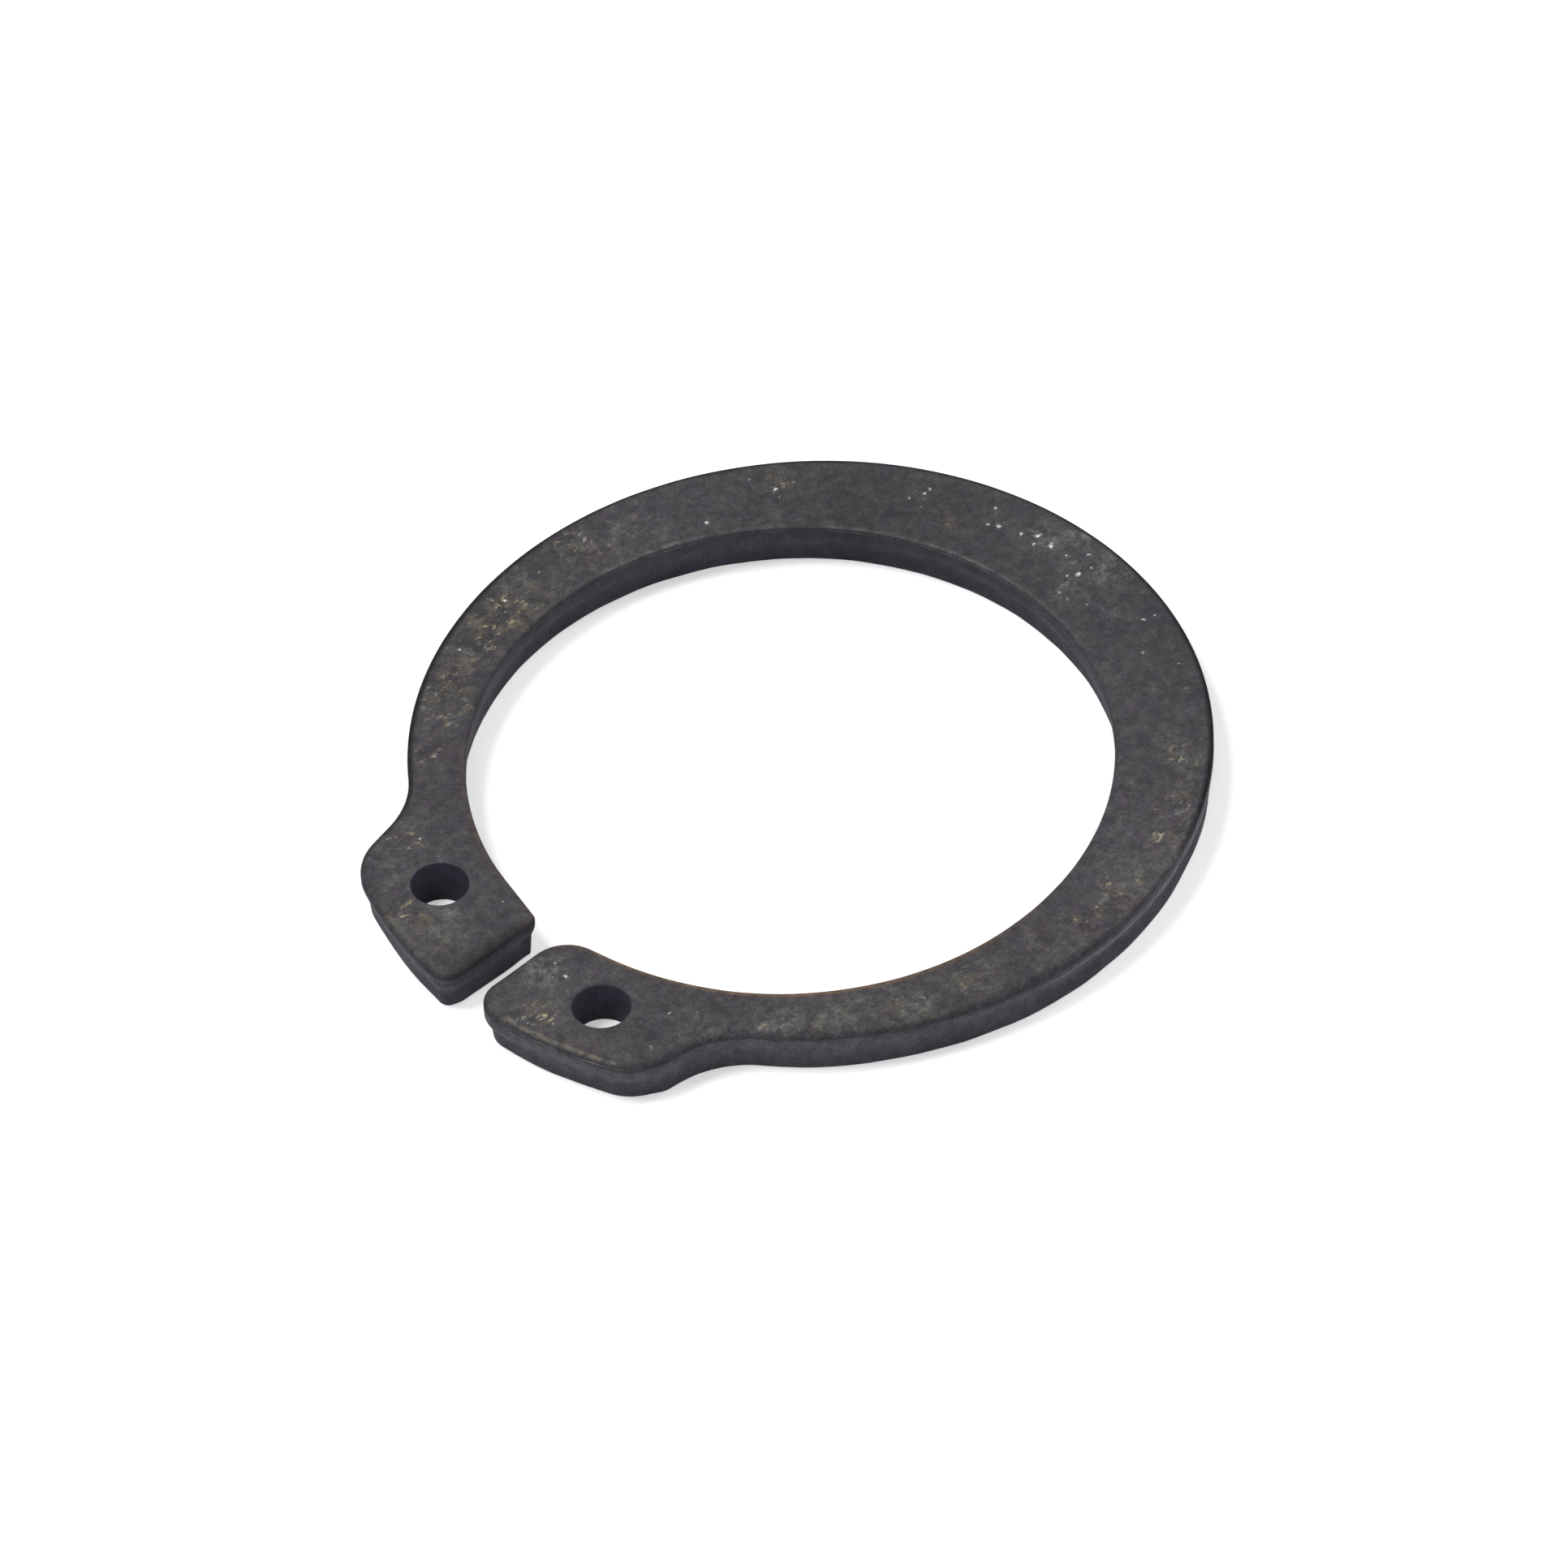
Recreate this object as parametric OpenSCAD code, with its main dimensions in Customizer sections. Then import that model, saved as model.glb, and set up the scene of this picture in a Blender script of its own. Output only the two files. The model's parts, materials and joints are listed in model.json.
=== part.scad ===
// External retaining ring for a 24 mm shaft, heavy pattern, stamped from spring steel strip.
// The ring lies flat with its bottom face on z = 0. The bore's axis is the Z axis, and the
// gap between the lugs points along -Y. The sheared edge's full outline is at the top face.

/* [Ring] */
// Diameter of the bore while the ring lies free
bore_d = 22.2; // [20:0.1:24]
// Thickness of the strip
thickness = 1.75; // [1.4:0.05:2.5]
// Width of the ring at the back, opposite the gap, where it is widest
back_w = 3.64; // [3:0.02:4.4]
// Width that the ring narrows to at the front, under the lugs
front_w = 1.76; // [1.3:0.02:2.4]

/* [Lugs] */
// Height of the lugs, from the bore to their outer edge
lug_h = 4.43; // [3.9:0.01:5]
// Angle from the gap's middle at which a lug's inner edge leaves the bore in a straight line
straight_from = 13; // [11:0.5:16]
// Radius of the hollow where a lug grows out of the ring
root_r = 3.4; // [2.4:0.1:4]
// Radius of a lug's far corner, at its heel
heel_r = 2.2; // [1.4:0.05:2.6]

/* [Left lug] */
// Distance of the left lug's end face from the gap's middle
left_end = 0.52; // [0.3:0.02:1.2]
// Width of the left lug, from its end face to its flank
left_w = 6.67; // [5.8:0.01:7.4]
// Lean of the left lug's flank towards the gap, in degrees
left_lean = 12; // [0:1:15]
// Radius of the left lug's corner between its end face and its inner edge
left_inner_r = 0.3; // [0.1:0.05:1.4]
// Radius of the left lug's corner between its end face and its outer edge
left_outer_r = 0.65; // [0.3:0.05:1.5]

/* [Right lug] */
// Distance of the right lug's end face from the gap's middle
right_end = 0.66; // [0.3:0.02:1.2]
// Width of the right lug, from its end face to its flank
right_w = 6.77; // [5.8:0.01:7.4]
// Lean of the right lug's flank towards the gap, in degrees
right_lean = 4; // [0:1:15]
// Radius of the right lug's corner between its end face and its inner edge
right_inner_r = 1.45; // [0.1:0.05:1.6]
// Radius of the right lug's corner between its end face and its outer edge
right_outer_r = 1.05; // [0.3:0.05:1.5]

/* [Plier holes] */
// Diameter of the plier holes
hole_d = 2; // [1.5:0.05:2.4]
// Angle of each hole from the gap's middle
hole_angle = 17.9; // [15:0.1:21]
// Distance of the holes' centres outside the bore's edge
hole_out = 2.06; // [1.8:0.02:2.5]
// Width and depth of the drawn-in rim at the top of a hole
hole_rim = 0.05; // [0.02:0.01:0.15]

/* [Sheared edge] */
// Radius of the rolled top edge
roll_r = 0.12; // [0.04:0.01:0.25]
// Height of the smooth band that the shear left, from the top face down
sheared_h = 0.5; // [0.3:0.02:0.8]
// Height of the break below the smooth band
break_h = 0.35; // [0.15:0.01:0.5]
// How far the edge steps in over the break
break_in = 0.12; // [0.04:0.01:0.2]
// How much further the edge draws in below the break, down to the worn bottom edge
draft_in = 0.08; // [0.02:0.01:0.15]
// Size of the worn bottom edge
foot_r = 0.07; // [0.03:0.01:0.15]

/* [Hidden] */

$fn = 180;
// How closely the lugs' rounds are followed by their straight steps
round_fit = 0.004;
// Radius that a lug's corner keeps where the edge draws in past the corner's own radius
least_r = 0.03;
// Steps of the rolled edge, in degrees
roll_step = 30;
// How far a cut runs past the face that it opens
over = 1;
// How far a lug's edge dips into the ring's where it joins it, so that the two edges cross
lap = 0.006;
// How far a lug's hidden side lies inside the bore and inside the ring's outer edge
bury = 0.5;
// Angle past the lug's root at which its hidden side crosses the ring
root_turn = 4;

bore_r = bore_d / 2;
outer_r = bore_r + (back_w + front_w) / 2;
outer_centre = [0, (back_w - front_w) / 2];
lug_r = bore_r + lug_h;
hole_r = bore_r + hole_out;
hole_level = -hole_r * cos(hole_angle);

// The edge's section from the bottom face up, as [height, how far the edge lies inside the outline]
edge = concat(
    [
        [0, break_in + draft_in + foot_r],
        [foot_r, break_in + draft_in],
        [thickness - sheared_h - break_h, break_in],
        [thickness - sheared_h, 0]
    ],
    [for (a = [0 : roll_step : 90]) [thickness - roll_r * (1 - sin(a)), roll_r * (1 - cos(a))]]
);

function direction(a) = [cos(a), sin(a)];
function angle_of(p) = atan2(p[1], p[0]);

// Steps that follow a turn on a round of radius r
function steps(r, turn) = ceil(turn / (2 * acos(1 - round_fit / r)));

// Points on a round about centre c, from angle a to angle b in n steps
function arc(c, r, a, b, n) = [for (i = [0 : n]) c + r * direction(a + (b - a) * i / n)];

// The same points without the first and the last
function inside(points) = [for (i = [1 : len(points) - 2]) points[i]];

// Point on the line from p along the unit vector d, at its second crossing of a circle
function meet(p, d, centre, r) =
    let (from = p - centre, along = from * d)
    p + d * (sqrt(along * along - from * from + r * r) - along);

// Outline of the right-hand lug, drawn in by inset. Each round keeps its centre, so the edge's
// section stays the same all along, and every inset gives the same number of points. The last
// points lie out of sight, in the ring and the bore.
function lug_outline(end, w, lean, inner_r, corner_r, inset) =
    let (
        // Inner edge, straight from the bore to the corner at the end face
        straight = direction(straight_from - 90),
        near_r = max(inner_r, inset + least_r),
        near_x = end + near_r,
        near = [near_x, (bore_r + near_r - near_x * straight[0]) / straight[1]],
        // Corner between the end face and the outer edge
        tip_r = max(corner_r, inset + least_r),
        tip_x = end + tip_r,
        tip = [tip_x, -sqrt(pow(lug_r - tip_r, 2) - tip_x * tip_x)],
        // Flank, with its far corner inside it and the root's hollow outside it
        flank = [end + w, hole_level],
        out = direction(-lean),
        down = [-sin(lean), -cos(lean)],
        heel = meet(flank - heel_r * out, down, [0, 0], lug_r - heel_r),
        heel_angle = angle_of(heel),
        root = meet(flank + root_r * out, down, outer_centre, outer_r + root_r - lap),
        root_angle = angle_of(root - outer_centre),
        // Turn of the outer edge about the bore's axis
        lug_turn = 2 * asin(w / 2 / lug_r)
    )
    concat(
        [(bore_r + inset - lap) * straight],
        arc(near, near_r - inset, 90 + straight_from, 180, steps(inner_r, 90 - straight_from)),
        arc(tip, tip_r - inset, 180, 360 + angle_of(tip), steps(corner_r, 90)),
        inside(arc([0, 0], lug_r - inset, angle_of(tip), heel_angle, steps(lug_r, lug_turn))),
        arc(heel, heel_r - inset, heel_angle, -lean, steps(heel_r, -lean - heel_angle)),
        arc(root, root_r + inset, 180 - lean, 180 + root_angle, steps(root_r, -lean - root_angle)),
        [
            outer_centre + (outer_r - bury) * direction(root_angle + root_turn),
            (bore_r - bury) * direction(root_angle + root_turn),
            (bore_r - bury) * direction((root_angle + straight_from - 90) / 2)
        ]
    );

// Skin over a stack of outlines that have the same number of points. The two ends are fans about
// middle, a point that sees the whole outline.
module loft(outlines, heights, middle) {
    n = len(outlines[0]);
    last = len(outlines) - 1;
    bottom_middle = n * (last + 1);
    points = concat(
        [for (k = [0 : last]) for (p = outlines[k]) [p[0], p[1], heights[k]]],
        [[middle[0], middle[1], heights[0]], [middle[0], middle[1], heights[last]]]
    );
    sides = [
        for (k = [0 : last - 1])
            for (i = [0 : n - 1])
                let (j = (i + 1) % n)
                [k * n + i, (k + 1) * n + i, (k + 1) * n + j, k * n + j]
    ];
    ends = [
        for (i = [0 : n - 1])
            let (j = (i + 1) % n)
            each [[bottom_middle, i, j], [bottom_middle + 1, last * n + j, last * n + i]]
    ];
    polyhedron(points, concat(sides, ends));
}

module lug(end, w, lean, inner_r, corner_r) {
    loft(
        [for (e = edge) lug_outline(end, w, lean, inner_r, corner_r, e[1])],
        [for (e = edge) e[0]],
        hole_r * direction(hole_angle - 90)
    );
}

// Disc that the ring is cut from, with the edge's section round its rim
module disc() {
    translate(outer_centre)
        rotate_extrude()
            polygon(concat([[0, 0]], [for (e = edge) [outer_r - e[1], e[0]]], [[0, thickness]]));
}

// Cut for the bore, with the same section turned inwards
module bore() {
    rotate_extrude()
        polygon(concat(
            [[0, -over], [bore_r + edge[0][1], -over]],
            [for (e = edge) [bore_r + e[1], e[0]]],
            [[bore_r + roll_r, thickness + over], [0, thickness + over]]
        ));
}

// Wedge that opens the disc between the two plier holes, where the lugs take over
module front_opening() {
    far = 2 * lug_r;
    translate([0, 0, -over])
        linear_extrude(thickness + 2 * over)
            polygon([[0, 0], far * direction(-90 - hole_angle), far * direction(-90 + hole_angle)]);
}

module plier_hole() {
    translate([0, 0, -over])
        cylinder(h = thickness + 2 * over, d = hole_d);
    translate([0, 0, thickness - hole_rim])
        cylinder(h = over, r1 = hole_d / 2, r2 = hole_d / 2 + over);
}

module retaining_ring() {
    color([0.30, 0.29, 0.31])
    difference() {
        union() {
            difference() {
                disc();
                front_opening();
            }
            mirror([1, 0, 0])
                lug(left_end, left_w, left_lean, left_inner_r, left_outer_r);
            lug(right_end, right_w, right_lean, right_inner_r, right_outer_r);
        }
        bore();
        for (side = [-1, 1])
            rotate([0, 0, side * hole_angle])
                translate([0, -hole_r, 0])
                    plier_hole();
    }
}

retaining_ring();
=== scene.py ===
import json
import math

import bpy
import numpy as np
from mathutils import Matrix, Vector, geometry, noise


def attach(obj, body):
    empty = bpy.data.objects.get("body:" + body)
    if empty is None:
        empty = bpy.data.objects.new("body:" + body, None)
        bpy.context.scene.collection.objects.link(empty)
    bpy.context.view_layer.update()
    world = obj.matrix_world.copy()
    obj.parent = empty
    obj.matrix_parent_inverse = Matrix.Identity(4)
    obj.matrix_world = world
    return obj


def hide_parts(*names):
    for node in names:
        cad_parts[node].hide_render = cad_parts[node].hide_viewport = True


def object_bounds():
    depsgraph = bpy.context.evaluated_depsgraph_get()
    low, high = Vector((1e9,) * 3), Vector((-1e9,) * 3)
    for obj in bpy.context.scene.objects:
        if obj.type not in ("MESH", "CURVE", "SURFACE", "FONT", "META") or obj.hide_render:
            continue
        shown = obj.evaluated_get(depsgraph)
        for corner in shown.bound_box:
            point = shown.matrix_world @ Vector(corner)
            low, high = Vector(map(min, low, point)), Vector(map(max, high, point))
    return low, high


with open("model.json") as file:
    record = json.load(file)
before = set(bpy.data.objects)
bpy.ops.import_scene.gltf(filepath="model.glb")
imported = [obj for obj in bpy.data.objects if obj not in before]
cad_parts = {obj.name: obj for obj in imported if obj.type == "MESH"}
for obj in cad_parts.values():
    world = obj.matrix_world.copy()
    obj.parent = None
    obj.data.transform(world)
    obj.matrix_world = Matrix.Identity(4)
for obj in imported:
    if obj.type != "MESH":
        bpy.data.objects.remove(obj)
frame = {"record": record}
cad_low, cad_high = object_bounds()

# Sizes in millimetres. The bore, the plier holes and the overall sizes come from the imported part.
MM = 0.001
mounts = {m["name"]: m for m in frame["record"]["mounts"]}
bore_r = mounts["shaft_seat"]["dims"]["r_mm"]
hole_r = mounts["plier_hole_left"]["dims"]["r_mm"]
hole_centres = [
    np.array(mounts[name]["pos_m"][:2]) / MM
    for name in ("plier_hole_left", "plier_hole_right")
]
hole_level = hole_centres[0][1]
thickness = cad_high.z / MM
outer_r = cad_high.x / MM
outer_centre = np.array([0.0, cad_high.y / MM - outer_r])
bore_centre = np.zeros(2)

# Lugs: straight inner edge, outer edge, hollow at the root and far corner
straight_from = 13.0
lug_r = 15.528
root_r = 3.4
heel_r = 2.2
left_lug = {"end": 0.52, "width": 6.67, "lean": 12.0, "near_r": 0.3, "tip_r": 0.65}
right_lug = {"end": 0.66, "width": 6.77, "lean": 4.0, "near_r": 1.45, "tip_r": 1.05}

# Sheared edge: rolled top edge with a sunk shoulder, smooth band, break, torn lower part, worn
# bottom edge and the strip of the bottom face beside it
roll_w = 0.13
band_h = 0.5
break_h = 0.5
foot_r = 0.07
sole_w = 0.08
shoulder_w = 0.28
shoulder_sink = 0.012
# Least and most that the roll, the break's step and the ledge come to along the edge
roll_limits = (0.05, 0.3)
step_limits = (0.03, 0.26)
ledge_limits = (0.0, 0.1)
# Distance from the bore's axis beyond which the edge is a lug's
lug_from = 14.6
# Width of the drawn-in top rim of the left and the right plier hole, and how far each one's
# foot stands out from its wall
hole_rims = (0.05, 0.1)
hole_feet = (0.08, 0.0)
# Share of the thickness that the foot takes up, and the width of its worn edge
foot_share = 0.4
foot_edge = 0.02
# Depth that marks a point as on a plier hole's wall
hole_mark = 1.4

# Fineness of the mesh: steps round the outline and length of a step on its rounds, reach and
# rounds of the softening inwards, steps round a plier hole, spacing of the points on the top face
# and their clearance from its edges and from the specks
outline_steps = 2300
fine_step = 0.02
soften_steps = 5
soften_rounds = 3
hole_steps = 120
face_step = 0.3
edge_gap = 0.12
speck_gap = 0.07
# Distance within which two points of a face count as one
one_point = 1e-7


def direction(degrees):
    a = math.radians(degrees)
    return np.array([math.cos(a), math.sin(a)])


def angle_of(p):
    return math.degrees(math.atan2(p[1], p[0]))


def smooth(x):
    """0 to 1 with soft ends"""
    t = np.clip(x, 0.0, 1.0)
    return t * t * (3 - 2 * t)


def arc(centre, r, start, end):
    """Close points on a round, from angle start to angle end"""
    count = max(8, int(abs(math.radians(end - start)) * r / fine_step))
    return [centre + r * direction(a) for a in np.linspace(start, end, count)]


def meet(p, d, centre, r):
    """Point on the line from p along the unit vector d, at its second crossing of a circle"""
    off = p - centre
    along = off @ d
    return p + d * (math.sqrt(along**2 - off @ off + r**2) - along)


def lug_edge(end, width, lean, near_r, tip_r):
    """Edge of the right-hand lug, from the bore round to the ring's outer edge"""
    straight = direction(straight_from - 90)
    near_x = end + near_r
    near_centre = np.array([near_x, (bore_r + near_r - near_x * straight[0]) / straight[1]])
    tip_x = end + tip_r
    tip_centre = np.array([tip_x, -math.sqrt((lug_r - tip_r) ** 2 - tip_x**2)])
    tip_angle = angle_of(tip_centre)
    flank = np.array([end + width, hole_level])
    out = direction(-lean)
    down = direction(-90 - lean)
    heel_centre = meet(flank - heel_r * out, down, bore_centre, lug_r - heel_r)
    heel_angle = angle_of(heel_centre)
    root_centre = meet(flank + root_r * out, down, outer_centre, outer_r + root_r)
    root_angle = angle_of(root_centre - outer_centre)
    return (
        [bore_r * straight]
        + arc(near_centre, near_r, 90 + straight_from, 180)
        + arc(tip_centre, tip_r, 180, 360 + tip_angle)
        + arc(bore_centre, lug_r, tip_angle, heel_angle)
        + arc(heel_centre, heel_r, heel_angle, -lean)
        + arc(root_centre, root_r, 180 - lean, 180 + root_angle)
    )


def even_steps(points, count):
    """The same closed line in equal steps"""
    closed = np.vstack([points, points[:1]])
    run = np.concatenate([[0], np.cumsum(np.hypot(*np.diff(closed, axis=0).T))])
    at = np.linspace(0, run[-1], count, endpoint=False)
    return np.stack([np.interp(at, run, closed[:, k]) for k in (0, 1)], axis=1)


def ring_outline():
    """The whole edge in plan, with the metal on the left of its way"""
    right = lug_edge(**right_lug)
    left = [p * [-1, 1] for p in reversed(lug_edge(**left_lug))]
    start = angle_of(right[-1] - outer_centre)
    end = angle_of(left[0] - outer_centre) % 360
    back = arc(outer_centre, outer_r, start, end)
    bore = arc(bore_centre, bore_r, 270 - straight_from, straight_from - 90)
    return even_steps(np.array(right + back + left + bore), outline_steps)


def inward(points):
    """Vectors from the edge into the metal, softened so that they don't cross in tight corners"""
    along = np.roll(points, -1, axis=0) - np.roll(points, 1, axis=0)
    along /= np.hypot(*along.T)[:, None]
    into = np.stack([-along[:, 1], along[:, 0]], axis=1)
    for _ in range(soften_rounds):
        into = sum(np.roll(into, k, axis=0) for k in range(-soften_steps, soften_steps + 1))
        into /= 2 * soften_steps + 1
    return into


def near(points, places):
    """Sum of soft spots at the points. A place is (x, y, reach, strength)."""
    total = np.zeros(len(points))
    for x, y, reach, strength in places:
        off = points[:, :2] - [x, y]
        total += strength * np.exp(-(off**2).sum(axis=1) / reach**2)
    return total


def ripple(points, size, seed, heights=None):
    """Smooth noise between about -1 and 1, at the points divided by size"""
    zs = np.zeros(len(points)) if heights is None else heights
    return np.array([
        noise.noise(Vector((x / size, y / size, z / size + seed)))
        for (x, y), z in zip(points, zs)
    ])


# How the edge differs from place to place, as (x, y, reach, strength) in plan
wide_rolls = [
    (-11.4, -2, 5, 0.08), (-0.7, -12, 1.0, 0.08), (-0.7, -13.6, 1.2, 0.06), (-3.8, -15.0, 3.2, 0.16),
    (1.6, -15.2, 2.2, 0.12), (12.6, -4.5, 4.5, 0.12), (9.0, -10.5, 3.5, 0.10), (5.5, -14.5, 1.8, 0.04),
]
crisp_rolls = [(-3, 10.8, 5, 0.06), (-11, 2.5, 3, 0.05)]
sagging_shoulders = [
    (-0.5, -13.0, 1.5, 0.05), (-0.6, -14.7, 1.0, 0.03), (-2.2, -15.4, 1.6, 0.03),
    (10.0, -9.5, 3.5, 0.03), (13.0, -3.0, 3.5, 0.03),
]
tall_bands = [(1.4, -15.3, 1.6, 0.2), (6.5, -14.2, 2, 0.08)]
short_bands = [(-0.6, -11.3, 1.2, 0.12), (-6, -14, 3, 0.15)]
deep_breaks = [
    (1.2, -15.3, 1.6, 0.06), (-3.8, -15.0, 3.2, 0.06), (-0.6, -11.4, 0.7, 0.1), (12.6, 6.5, 3, 0.05),
]
ledges = [(12.5, 6.8, 3, 0.08), (13.5, 1.5, 3.5, 0.08)]


def edge_rows(points):
    """The sheared edge as rows from the top face down to the bottom face. A row holds, for each
    point of the outline, how far it lies inside the outline and its height, and then how deep
    down the wall it is, how torn it is and how near the rolled edge, all from 0 to 1."""
    radius = np.hypot(*points.T)
    lug = smooth((radius - lug_from) / 0.5)
    inner = 1 - smooth((radius - bore_r - 0.05) / 0.3)
    roll = roll_w + near(points, wide_rolls) - near(points, crisp_rolls)
    roll = np.clip(roll + 0.02 * ripple(points, 1.6, 3), *roll_limits)
    sag = near(points, sagging_shoulders)
    drop = 0.7 * roll + shoulder_sink + sag
    band = band_h + near(points, tall_bands) - near(points, short_bands)
    band = band + 0.07 * ripple(points, 2.3, 9)
    step = 0.06 + 0.05 * inner + 0.1 * lug + near(points, deep_breaks)
    step = np.clip(step + 0.03 * ripple(points, 1.6, 17), *step_limits)
    draft = 0.06 + 0.02 * inner + 0.02 * ripple(points, 3.1, 23)
    ledge = np.clip(near(points, ledges) + 0.02 * ripple(points, 1.4, 31), *ledge_limits)
    zero = np.zeros(len(points))
    rows = []

    # Sunk shoulder and rolled edge
    for part in (1.0, 0.5):
        inset = roll + (shoulder_w + 4 * sag) * part
        sink = (shoulder_sink + sag) * (1 - part) ** 2
        rows.append((inset, thickness - sink, 0.0, 0.0, 0.4 * (1 - part)))
    start = 0.6 * (shoulder_sink + sag)
    for turn in np.radians([0, 15, 30, 45, 60, 75, 90]):
        inset = roll * (1 - math.sin(turn))
        low = start + (drop - start) * (1 - math.cos(turn))
        rim = 0.6 + 0.4 * math.sin(turn)
        rows.append((inset, thickness - low, 0.06 * math.sin(turn), 0.0, rim))

    # Smooth band
    for part in (0.25, 0.5, 0.75, 1.0):
        height = thickness - drop - (band - drop) * part
        scuff = 0.004 * (1 + ripple(points, 0.35, 40, height)) * part
        rows.append((scuff, height, None, 0.0, max(0, 0.6 - 2.4 * part)))

    # Break and torn lower part
    break_foot = thickness - band - break_h
    for part in (0.12, 0.3, 0.5, 0.75, 1.0):
        height = thickness - band - break_h * part
        rough = 0.015 * part * ripple(points, 0.4, 50, height)
        inset = 0.01 + (step + ledge) * smooth(np.array(part)) + rough
        rows.append((inset, height, None, part, 0.0))
    for part in (0.15, 0.3, 0.45, 0.6, 0.8, 1.0):
        height = break_foot * (1 - part) + foot_r * part
        fade = 1 - 0.7 * part
        rough = 0.018 * ripple(points, 0.4, 50, height) + 0.01 * ripple(points, 0.15, 60, height)
        back_out = ledge * (1 - smooth(np.array(part * 1.6)))
        rows.append((0.01 + step + draft * part + back_out + fade * rough, height, None, 1.0, 0.0))

    # Worn bottom edge and the strip beside it
    last = rows[-1][0]
    for turn in np.radians([35, 65, 90]):
        height = foot_r * (1 - math.sin(turn)) + zero
        rows.append((last + foot_r * (1 - math.cos(turn)), height, 1.0, 0.6, 0.0))
    rows.append((last + foot_r + sole_w, zero, 0.0, 0.0, 0.0))

    whole = []
    for inset, height, depth, torn, rim in rows:
        depth = 1 - height / thickness if depth is None else depth + zero
        whole.append((np.maximum(inset, 0), height, depth, torn, rim))
    return whole


def hole_rows(rim, foot):
    """A plier hole's wall from its drawn-in top rim down to its foot, as rows of radius, height,
    depth and tear"""
    rows = []
    for turn in np.radians([0, 30, 60, 90]):
        height = thickness - rim * (1 - math.cos(turn))
        rows.append((hole_r + rim * (1 - math.sin(turn)), height, math.sin(turn) ** 4, 0.0))
    for part in (0.85, 0.7, 0.55, 0.4):
        rows.append((hole_r, thickness * part, hole_mark, 0.0))
    for part in (0.3, 0.2, 0.1, 0.03):
        r = hole_r - foot * smooth(1 - part / foot_share)
        rows.append((r, thickness * part, hole_mark, 1.0))
    rows.append((hole_r - foot + foot_edge, 0.0, hole_mark, 0.6))
    rows.append((hole_r + sole_w, 0.0, 0.0, 0.0))
    return rows


def inside(points, loop):
    """Which points lie within a closed loop"""
    nxt = np.roll(loop, -1, axis=0)
    x, y = points[:, 0:1], points[:, 1:2]
    spans = (loop[:, 1] > y) != (nxt[:, 1] > y)
    rise = np.where(nxt[:, 1] == loop[:, 1], 1, nxt[:, 1] - loop[:, 1])
    cross = loop[:, 0] + (y - loop[:, 1]) / rise * (nxt[:, 0] - loop[:, 0])
    return (spans & (x < cross)).sum(axis=1) % 2 == 1


def clear_of(points, others, gap):
    """Which points keep a gap from all the others"""
    return np.array([np.hypot(*(others - p).T).min() > gap for p in points])


def face_grid(loop, holes, gap):
    """Points in staggered rows over a face, clear of its edges"""
    low, high = loop.min(axis=0), loop.max(axis=0)
    row_step = face_step * math.sqrt(0.75)
    points = np.array([
        (x + face_step / 2 * (k % 2), y)
        for k, y in enumerate(np.arange(low[1], high[1], row_step))
        for x in np.arange(low[0], high[0], face_step)
    ])
    points = points[inside(points, loop)]
    for hole in holes:
        points = points[~inside(points, hole)]
    return points[clear_of(points, np.vstack([loop] + holes), gap)]


# Specks of bare metal or lime on the top face, as (x, y, half width) in plan
single_specks = [
    (-3.01, 12.73, 0.08), (-2.19, 13.04, 0.07), (-1.69, 13.38, 0.09), (-1.35, 13.20, 0.07),
    (-0.98, 13.35, 0.10), (-0.75, 13.55, 0.07), (0.43, 12.71, 0.06), (0.66, 13.06, 0.08),
    (0.75, 13.59, 0.06), (-6.23, 11.56, 0.07), (-5.98, 12.05, 0.06), (3.86, 13.09, 0.06),
    (4.46, 13.59, 0.06), (5.00, 11.94, 0.06), (6.26, 12.46, 0.05), (7.20, 11.95, 0.07),
    (1.92, 12.25, 0.06), (-10.31, 5.72, 0.07), (-10.87, 8.22, 0.06), (-9.82, 8.53, 0.08),
    (-9.55, 8.75, 0.06), (-12.80, 2.21, 0.07), (-12.65, 2.45, 0.06), (-12.51, -1.77, 0.08),
    (-11.85, -4.49, 0.06), (-8.69, -8.59, 0.05), (12.62, 2.41, 0.05), (12.71, 4.69, 0.05),
    (6.64, -12.63, 0.06), (2.19, -12.46, 0.07), (2.40, -12.32, 0.05), (5.95, -11.16, 0.06),
    (6.56, -10.47, 0.05), (-1.90, -11.60, 0.04), (11.5, -4.6, 0.07),
]
# Clusters of small specks, as (x, y, spread, number)
speck_clusters = [
    (-1.7, 13.4, 0.5, 18), (0.7, 13.4, 0.6, 14), (-6.1, 12.0, 0.3, 9), (-3.4, 12.9, 0.4, 8),
    (-9.7, 8.8, 0.5, 8), (-12.5, 1.8, 0.8, 6), (-12.3, -2.4, 0.9, 5), (-10.6, -6.6, 0.7, 5),
    (1.9, -12.5, 0.5, 7), (0.6, 12.2, 0.7, 7), (4.0, 13.2, 0.6, 6), (-12.9, -0.2, 0.7, 5),
    (9.3, -9.0, 0.6, 4), (12.6, 4.5, 0.9, 4), (-6.5, -11.8, 0.6, 3),
]

# Half widths of the small specks
small_specks = (0.028, 0.058)
# A speck's ring of points, its clearance from the edges and its distance from the other specks,
# all in half widths
speck_ring = 2.8
speck_clearance = 3.2
speck_spacing = 2.6


def speck_list():
    """All the specks, those of the clusters spread by chance"""
    chance = np.random.default_rng(24)
    specks = list(single_specks)
    for x, y, spread, number in speck_clusters:
        for _ in range(number):
            at = chance.normal((x, y), spread / 1.6)
            specks.append((at[0], at[1], chance.uniform(*small_specks)))
    return specks


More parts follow.
